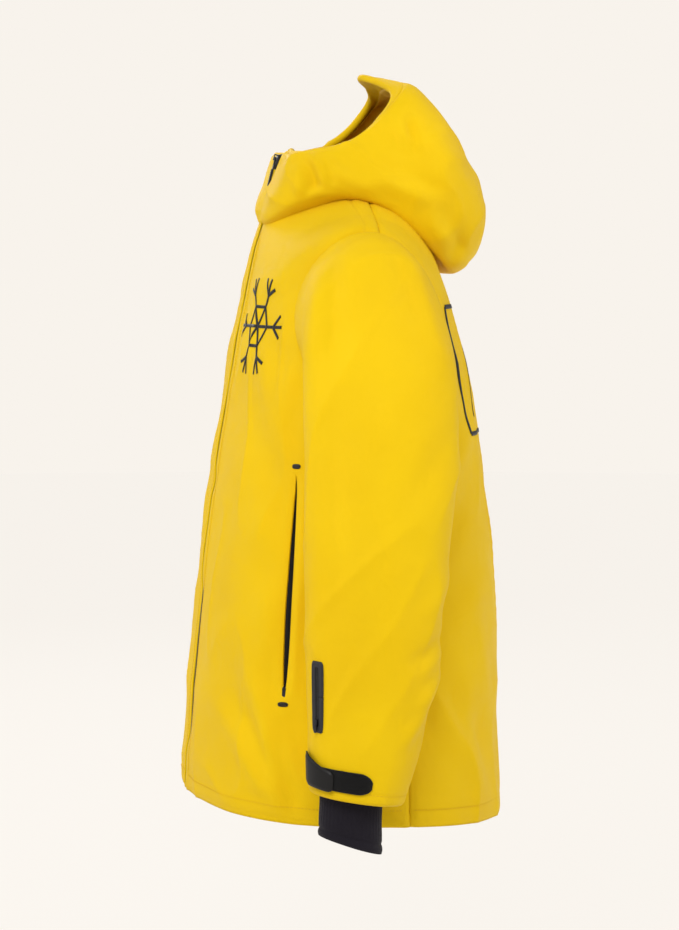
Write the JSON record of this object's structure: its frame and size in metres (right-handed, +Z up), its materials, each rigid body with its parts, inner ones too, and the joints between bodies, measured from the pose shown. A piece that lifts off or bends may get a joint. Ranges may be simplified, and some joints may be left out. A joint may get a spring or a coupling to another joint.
{
  "type": "ski jacket",
  "caption": "Hooded insulated ski jacket, zipped up, with high collar, set-in sleeves, wrist gaiters, cuff tabs, zipped hand and forearm pockets and a snow skirt inside.",
  "frame": {"origin": "middle of the neck opening, level with the neck end of the shoulder seams, where a coat hanger's hook rises", "axes": "+Z up, -Y the front of the jacket, +X the wearer's left"},
  "size_m": [0.6638, 0.3578, 0.8529],
  "materials": {
    "yellow_shell": "tightly woven stretch outer fabric with a soft sheen, sunflower yellow",
    "lining": "smooth woven lining, deep amber yellow",
    "wrist_knit": "smooth stretch knit, blue black",
    "zip_tape": "woven zip tape with a polyurethane film, black",
    "zip_slider": "die-cast slider, black lacquer",
    "zip_box": "moulded zip box, black",
    "zip_pull": "moulded rubber pull with a grey centre",
    "inner_fabric": "brushed tricot, black",
    "hook_and_loop": "hook and loop tape, black",
    "cuff_tab": "moulded cuff tab, matt black",
    "bartack": "dense satin stitching, black",
    "pocket_welt": "heat-bonded pocket frame, satin black",
    "hanger_loop": "woven tape, black",
    "gripper": "silicone-backed elastic, black"
  },
  "bodies": {
    "torso": {"front_shell_left": "yellow_shell", "front_shell_right": "yellow_shell", "front_lining_left": "lining", "front_lining_right": "lining", "back_shell": "yellow_shell", "back_lining": "lining", "main_zip_tape_left": "zip_tape", "main_zip_tape_right": "zip_tape", "main_zip_box": "zip_box", "wind_flap": "yellow_shell", "chin_guard": "inner_fabric", "collar_shell": "yellow_shell", "collar_lining": "lining", "hanger_loop": "hanger_loop", "hand_pocket_zip_left": "zip_tape", "hand_pocket_zip_right": "zip_tape", "hand_pocket_bag_left": "inner_fabric", "hand_pocket_bag_right": "inner_fabric", "hand_pocket_top_tack_left": "bartack", "hand_pocket_top_tack_right": "bartack", "hand_pocket_bottom_tack_left": "bartack", "hand_pocket_bottom_tack_right": "bartack", "snow_skirt": "inner_fabric", "snow_skirt_gripper": "gripper"},
    "zip_slider": {"main_zip_slider": "zip_slider"},
    "zip_pull": {"main_zip_pull": "zip_pull"},
    "hood": {"hood_shell": "yellow_shell", "hood_lining": "lining"},
    "hand_pocket_slider_left": {"hand_pocket_slider_left": "zip_slider"},
    "sleeve_left": {"sleeve_shell_left": "yellow_shell", "sleeve_lining_left": "lining", "wrist_gaiter_left": "wrist_knit", "cuff_loop_patch_left": "hook_and_loop", "sleeve_pocket_welt": "pocket_welt", "sleeve_pocket_zip": "zip_slider"},
    "cuff_tab_left": {"cuff_tab_left": "cuff_tab", "cuff_hook_pad_left": "hook_and_loop"},
    "hand_pocket_slider_right": {"hand_pocket_slider_right": "zip_slider"},
    "sleeve_right": {"sleeve_shell_right": "yellow_shell", "sleeve_lining_right": "lining", "wrist_gaiter_right": "wrist_knit", "cuff_loop_patch_right": "hook_and_loop"},
    "cuff_tab_right": {"cuff_tab_right": "cuff_tab", "cuff_hook_pad_right": "hook_and_loop"},
    "forearm_pocket_slider": {"sleeve_pocket_slider": "zip_slider"}
  },
  "joints": [
    {"name": "main_zip", "type": "hinge", "parent": "torso", "child": "zip_slider", "pos_m": [0, 3.615, -0.87], "axis": [1, 0, 0], "range_deg": [0, 10.69]},
    {"name": "zip_pull_swing", "type": "hinge", "parent": "zip_slider", "child": "zip_pull", "pos_m": [0, -0.07432, 0.04752], "axis": [-1, 0, 0], "range_deg": [0, 110]},
    {"name": "hood_lift", "type": "hinge", "parent": "torso", "child": "hood", "pos_m": [0, 0, 0.02], "axis": [1, 0, 0], "range_deg": [0, 40]},
    {"name": "shoulder_left", "type": "hinge", "parent": "torso", "child": "sleeve_left", "pos_m": [0.21, -0.005, -0.036], "axis": [0, -1, 0], "range_deg": [0, 50]},
    {"name": "shoulder_right", "type": "hinge", "parent": "torso", "child": "sleeve_right", "pos_m": [-0.21, -0.005, -0.036], "axis": [0, 1, 0], "range_deg": [0, 50]},
    {"name": "cuff_tab_left", "type": "hinge", "parent": "sleeve_left", "child": "cuff_tab_left", "pos_m": [0.27452, -0.08688, -0.6082], "axis": [0.0262, 0.017, -0.9995], "range_deg": [0, 75]},
    {"name": "cuff_tab_right", "type": "hinge", "parent": "sleeve_right", "child": "cuff_tab_right", "pos_m": [-0.27452, -0.08688, -0.6082], "axis": [0.0262, -0.017, 0.9995], "range_deg": [0, 75]},
    {"name": "hand_pocket_zip_left", "type": "slide", "parent": "torso", "child": "hand_pocket_slider_left", "axis": [-0.0176, 0.0634, 0.9978], "range_m": [0, 0.2345]},
    {"name": "hand_pocket_zip_right", "type": "slide", "parent": "torso", "child": "hand_pocket_slider_right", "axis": [0.0176, 0.0634, 0.9978], "range_m": [0, 0.2345]},
    {"name": "forearm_pocket_zip", "type": "slide", "parent": "sleeve_left", "child": "forearm_pocket_slider", "axis": [-0.0252, -0.0007, 0.9997], "range_m": [0, 0.055]}
  ]
}
